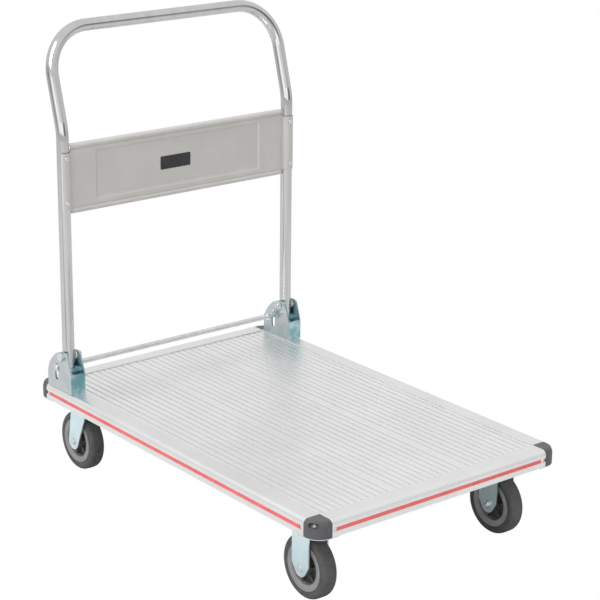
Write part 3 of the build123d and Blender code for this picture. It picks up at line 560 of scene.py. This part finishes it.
# %% Panel mesh
def panel_mesh():
    """Points of the columns and rows, and a face wherever all four corners are there."""
    columns, rows = section_columns(), section_rows()
    low, high = panel_low[2] + WRAP_END_GAP, panel_high[2] - WRAP_END_GAP
    points, index = [], {}
    for i, (x, y, is_wrap) in enumerate(columns):
        for j, (turned, z) in enumerate(rows):
            if is_wrap:
                if turned or not low - WRAP_REACH < z < high + WRAP_REACH:
                    continue
                place = (x, y, min(max(z, low), high))
            else:
                forward = 0.0 if turned else bead_push(z) - field_push(y, z)
                place = (x - turned + forward, y, z)
            index[i, j] = len(points)
            points.append(place)
    faces = []
    for i in range(len(columns) - 1):
        for j in range(len(rows) - 1):
            corners = [(i, j), (i + 1, j), (i + 1, j + 1), (i, j + 1)]
            if all(c in index for c in corners):
                faces.append([index[c] for c in corners])
    return points, [], faces


# %% Panel piece
panel = make_piece(
    "pressed_panel", panel_mesh(), panel_grey, "handle", "handle_panel", sharp=50
)
thickness = panel.modifiers.new("sheet", "SOLIDIFY")
thickness.thickness = SHEET
thickness.offset = -1
rounding = panel.modifiers.new("edges", "BEVEL")
rounding.width = 0.4 * MM
rounding.segments = 2
rounding.angle_limit = radians(60)
print("panel", len(panel.data.polygons), "faces")

# %% [markdown]
# ## Rubber
# The tyres are solid grey rubber. Rubber has a broad dull highlight, picks up pale dust and
# shows fine moulding grain. Detailed noise makes the dust, and a much finer noise the grain.

# %% Rubber
def tyre_rubber(name):
    material, inputs = new_finish(name, Specular_IOR_Level=0.4)
    dust = stretched_noise(material, 45, detail=7, roughness=0.65)
    clean, dusty = (0.066, 0.066, 0.065), (0.118, 0.117, 0.115)
    link(material, colours(material, dust, [(0.35, clean), (0.75, dusty)]), inputs["Base Color"])
    vary_roughness(material, inputs, dust, 0.55, 0.75)
    grain = stretched_noise(material, 1400, detail=3)
    link(material, add_bump(material, grain, 0.25, 0.2 * MM), inputs["Normal"])
    return material


rubber = tyre_rubber("tyre_rubber")
coat_nodes(rubber, "front_tyre", "rear_tyre")

# %% [markdown]
# ## Wheels
# A wheel has a cast tyre with a round crown, two shallow wear rings and a parting line, a pale
# rim ring, and a dark centre of a thin web, six tapered ribs and a long boss. The round pieces
# are lathed from a profile about the axle, which keeps them exact, and the ribs are added flat
# plates. Each piece takes its place and size from the frame's own wheel.

# %% Lathe
TURNS = 144


def lathe(mesh, centre, profile):
    """Turn a closed profile of (radius, offset along the axle) about an axle along Y."""
    rings = []
    for k in range(TURNS):
        angle = 2 * pi * k / TURNS
        rings.append([
            mesh.verts.new(centre + Vector((radius * cos(angle), offset, radius * sin(angle))))
            for radius, offset in profile
        ])
    for k in range(TURNS):
        here, after = rings[k], rings[(k + 1) % TURNS]
        for i in range(len(profile)):
            j = (i + 1) % len(profile)
            mesh.faces.new((here[i], here[j], after[j], after[i]))


def mirrored(half):
    """Closed profile from its upper half, which runs from the inside to the middle of the crown."""
    return half + [(radius, -offset) for radius, offset in reversed(half) if offset > 0]


# %% [markdown]
# ## Tyre profile
# A profile is a list of points from the tyre's bore, up the flank, round the shoulder and over
# the crown to the middle. Only one half is written down, and the other half is its mirror image.
# The wear rings are two shallow steps in the crown.

# %% Tyre
SHOULDER = 8 * MM
SHOULDER_STEPS = 12
WEAR_RING = 7.4 * MM  # from the middle of the tread
RING_DEPTH = 0.35 * MM
CROWN_RISE = 0.3 * MM


def tyre_profile(outer, inner, half_width):
    """Flank with a small bead, round shoulder, slight crown, wear rings and parting line."""
    flank = [
        (inner, half_width - 1.2 * MM),
        (inner + 0.6 * MM, half_width - 0.4 * MM),
        (inner + 2 * MM, half_width),
        (inner + 3.2 * MM, half_width),
        (inner + 3.8 * MM, half_width - 0.4 * MM),
        (inner + 5.5 * MM, half_width - 0.1 * MM),
    ]
    edge = half_width - SHOULDER
    centre = outer - SHOULDER - CROWN_RISE
    shoulder = []
    for i in range(SHOULDER_STEPS + 1):
        turn = radians(90) * i / SHOULDER_STEPS
        shoulder.append((centre + SHOULDER * sin(turn), edge + SHOULDER * cos(turn)))
    ring_steps = ((0, 0), (0.3, 1), (0.9, 1), (1.2, 0))
    ring = [(WEAR_RING - step * MM, depth) for step, depth in ring_steps]
    crown = []
    for offset, depth in ring + [(4 * MM, 0), (2 * MM, 0)]:
        fall = CROWN_RISE * (offset / edge) ** 2
        crown.append((outer - fall - RING_DEPTH * depth, offset))
    parting_line = [(outer - 0.1 * MM, 0.45 * MM), (outer, 0.15 * MM)]
    return mirrored(flank + shoulder + crown + parting_line)


print("wear rings", RING_DEPTH / MM, "mm deep")


# %% [markdown]
# ## Rim and centre
# The rim ring is a separate pale moulding inside the tyre, rounded where it shows. The centre is
# lathed as one web with its boss, and the ribs are plates that run from the boss to the ring.
# They could be cut out of one solid, but plates that pass a little into their neighbours look the
# same and keep the mesh clean.

# %% Rim and centre
RIM_DEPTH = 12.8 * MM
RIB_COUNT = 6
RIB_HALF = 1.5 * MM
RIB_BEVEL = 0.7 * MM
RIB_START = radians(12)
WEB_HALF = 2.4 * MM
OVERLAP = 0.5 * MM  # of the centre with the rim ring
SLEEVE_RADIUS = 7.05 * MM
BOSS_RADIUS = 15.5 * MM


def rim_profile(outer, half_width):
    inner = outer - RIM_DEPTH
    return mirrored([
        (inner, 2 * MM),
        (inner, half_width - 4 * MM),
        (inner + 0.6 * MM, half_width - 2.2 * MM),
        (inner + 2.2 * MM, half_width - 1.2 * MM),
        (inner + 5 * MM, half_width - 0.6 * MM),
        (outer - 3 * MM, half_width - 0.2 * MM),
        (outer - 1.2 * MM, half_width),
        (outer, half_width - 0.8 * MM),
        (outer, 2 * MM),
    ])


def add_rib(mesh, centre, angle, ends, halves):
    """Thin radial plate that tapers outwards, with its long edges bevelled."""
    along = Vector((cos(angle), 0, sin(angle)))
    across = Vector((-sin(angle), 0, cos(angle)))
    rows = []
    for radius, half in zip(ends, halves):
        base = centre + along * radius
        outline = [
            (-RIB_HALF, half - RIB_BEVEL),
            (-RIB_HALF + RIB_BEVEL, half),
            (RIB_HALF - RIB_BEVEL, half),
            (RIB_HALF, half - RIB_BEVEL),
        ]
        outline += [(-side, -offset) for side, offset in outline]
        rows.append([
            mesh.verts.new(base + across * side + Vector((0, offset, 0)))
            for side, offset in outline
        ])
    first, last = rows
    count = len(first)
    for i in range(count):
        j = (i + 1) % count
        mesh.faces.new((first[i], first[j], last[j], last[i]))
    mesh.faces.new(first)
    mesh.faces.new(list(reversed(last)))


# %% [markdown]
# ## Four wheels
# All four wheels are alike, so one function makes any of them. It reads the place, the radius
# and the widths from the frame, and each piece turns with the body of its own wheel.

# %% One wheel
def centre_profile(eye, half_width, boss_half):
    """Boss and web of the dark centre, out to the rim ring."""
    return mirrored([
        (SLEEVE_RADIUS, boss_half - 0.5 * MM),
        (SLEEVE_RADIUS + 0.5 * MM, boss_half),
        (BOSS_RADIUS - 3 * MM, boss_half),
        (BOSS_RADIUS - 2.4 * MM, boss_half - 0.8 * MM),
        (BOSS_RADIUS, half_width - 3 * MM),
        (BOSS_RADIUS + 0.6 * MM, 3.5 * MM),
        (BOSS_RADIUS + 1.8 * MM, WEB_HALF),
        (eye + OVERLAP, WEB_HALF),
    ])


def wheel(prefix, side):
    """Tyre, rim ring and ribbed centre of one wheel."""
    tyre_node, hub_node = f"{prefix}_tyre_{side}", f"{prefix}_hub_{side}"
    body = f"{prefix}_wheel_{side}"
    low, high = (Vector(corner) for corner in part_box(tyre_node))
    centre = (low + high) / 2
    outer, half_width = (high.z - low.z) / 2, (high.y - low.y) / 2
    hub_low, hub_high = (Vector(corner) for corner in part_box(hub_node))
    inner = (hub_high.z - hub_low.z) / 2
    boss_half = (hub_high.y - hub_low.y) / 2
    mesh = bmesh.new()
    lathe(mesh, centre, tyre_profile(outer, inner + 0.1 * MM, half_width))
    name = f"{prefix}_{side}"
    make_piece(f"{name}_tyre_rubber", mesh, rubber, body, tyre_node, sharp=40)
    mesh = bmesh.new()
    lathe(mesh, centre, rim_profile(inner, half_width + 0.5 * MM))
    make_piece(f"{name}_rim_ring", mesh, rim_grey, body, hub_node)
    mesh = bmesh.new()
    eye = inner - RIM_DEPTH
    lathe(mesh, centre, centre_profile(eye, half_width, boss_half))
    rib_ends = (BOSS_RADIUS - MM, eye + OVERLAP)
    rib_halves = (half_width - 4 * MM, half_width - 5.5 * MM)
    for k in range(RIB_COUNT):
        add_rib(mesh, centre, 2 * pi * k / RIB_COUNT + RIB_START, rib_ends, rib_halves)
    make_piece(f"{name}_wheel_centre", mesh, hub_dark, body, hub_node)


for prefix in ("front", "rear"):
    for side in ("left", "right"):
        wheel(prefix, side)
print("4 wheels of 3 pieces")

# %% [markdown]
# ## Studio
# The truck stands on a paper floor that throws light up under the deck and is most of what the
# upright tubes reflect. The camera doesn't see it, so that the truck stands out on plain white.
# A grey cloth lies across it on one side, far enough out to miss the rails, and puts a dark line
# down each leg.

# %% Floor
FLOOR_REACH = 9.0
CLOTH_HALF_WIDTH, CLOTH_SIDE_FADE = 0.17, 0.08
CLOTH_START, CLOTH_END_FADE = -0.95, 0.1


def studio_floor():
    mesh = bpy.data.meshes.new("floor")
    around = ((-1, -1), (1, -1), (1, 1), (-1, 1))
    corners = [(x * FLOOR_REACH, y * FLOOR_REACH, 0) for x, y in around]
    mesh.from_pydata(corners, [], [(0, 1, 2, 3)])
    floor = bpy.data.objects.new("floor", mesh)
    bpy.context.collection.objects.link(floor)
    floor.visible_camera = False
    material, inputs = new_finish("floor_paper")
    fibre = stretched_noise(material, 30, detail=5)
    paper = colours(material, fibre, [(0.3, grey(0.64)), (0.7, grey(0.68))])
    off_middle = math_node(material, "ABSOLUTE", object_axis(material, "X"))
    side_end = CLOTH_HALF_WIDTH + CLOTH_SIDE_FADE
    across = spread(material, off_middle, 1.0, 0.0, CLOTH_HALF_WIDTH, side_end)
    far_end = CLOTH_START - CLOTH_END_FADE
    along = spread(material, object_axis(material, "Y"), 1.0, 0.0, far_end, CLOTH_START)
    cloth = math_node(material, "MULTIPLY", across, along)
    link(material, mixed(material, cloth, paper, grey(0.40)), inputs["Base Color"])
    inputs["Roughness"].default_value = 0.9
    mesh.materials.append(material)


studio_floor()
print("floor", 2 * FLOOR_REACH, "m wide")

# %% [markdown]
# ## Room
# Chrome shows the room around it, so the world is a softbox room. A ramp round the horizon gives
# its walls light and dark stretches, which become the long streaks of the tube. Above them the
# room is an even grey, so that the flat deck doesn't glare. A light path node gives the camera
# plain white, while everything on the truck still sees the room.

# %% World
WALLS = [  # (part of a turn, grey)
    (0.00, 0.50),
    (0.12, 0.45),
    (0.20, 0.20),
    (0.27, 0.50),
    (0.31, 1.00),
    (0.36, 1.00),
    (0.38, 0.60),
    (0.41, 1.00),
    (0.46, 1.00),
    (0.50, 0.40),
    (0.54, 0.12),
    (0.58, 0.12),
    (0.63, 0.50),
    (0.90, 0.50),
]
RISE = [(0.0, 0.85), (0.25, 0.92), (0.6, 1.0), (1.0, 1.0)]  # (height, share of the light)
CEILING_START, CEILING_FULL = 0.17, 0.30
CEILING_GREY = 0.50
ROOM_STRENGTH = 1.75

world = bpy.data.worlds.new("softbox_room")
bpy.context.scene.world = world
world.use_nodes = True
world.node_tree.nodes.clear()


def greys(factor, stops):
    return colours(world, factor, [(position, grey(value)) for position, value in stops])


direction = add_node(world, "ShaderNodeTexCoord").outputs["Generated"]
up_share = axis_of(world, direction, "Z")
turn_round = add_node(world, "ShaderNodeTexGradient", gradient_type="RADIAL")
link(world, direction, turn_round.inputs["Vector"])
walls = greys(turn_round.outputs["Fac"], WALLS)
ceiling = greys(up_share, [(CEILING_START, 0.0), (CEILING_FULL, 1.0)])
room = mixed(world, ceiling, walls, grey(CEILING_GREY))
product = add_node(
    world, "ShaderNodeMix", {"Factor": 1.0}, data_type="RGBA", blend_type="MULTIPLY"
)
link(world, greys(up_share, RISE), product.inputs[MIX_FIRST])
link(world, room, product.inputs[MIX_SECOND])
room_light = add_node(world, "ShaderNodeBackground", {"Strength": ROOM_STRENGTH})
link(world, product.outputs[MIX_RESULT], room_light.inputs["Color"])
white = add_node(world, "ShaderNodeBackground", {"Color": (1, 1, 1, 1), "Strength": 1.0})
ray = add_node(world, "ShaderNodeLightPath")
choose = add_node(world, "ShaderNodeMixShader")
link(world, ray.outputs["Is Camera Ray"], choose.inputs["Fac"])
link(world, room_light.outputs["Background"], choose.inputs[1])
link(world, white.outputs["Background"], choose.inputs[2])
output = add_node(world, "ShaderNodeOutputWorld")
link(world, choose.outputs["Shader"], output.inputs["Surface"])
print("room with", len(WALLS), "wall marks")

# %% [markdown]
# ## Lights
# Two large area lamps add soft direction to the room: a key from the front and a fill from
# above. The fill is kept out of reflections, because it would show as a white square in the deck.

# %% Lights
LOOK_AT = Vector((0, 0, 0.35))


def soft_light(name, place, size, power):
    """Square area light that looks at the middle of the truck."""
    data = bpy.data.lights.new(name, "AREA")
    data.size = size
    data.energy = power
    lamp = bpy.data.objects.new(name, data)
    bpy.context.collection.objects.link(lamp)
    lamp.location = place
    lamp.rotation_euler = (Vector(place) - LOOK_AT).to_track_quat("Z", "Y").to_euler()
    return lamp


soft_light("key_light", (0.5, -2.5, 3.2), 2.4, 60)
soft_light("top_light", (-0.6, 0.6, 3.6), 3.0, 45).visible_glossy = False
print("key and top light look at", tuple(LOOK_AT))
bpy.context.scene.view_settings.view_transform = "Standard"
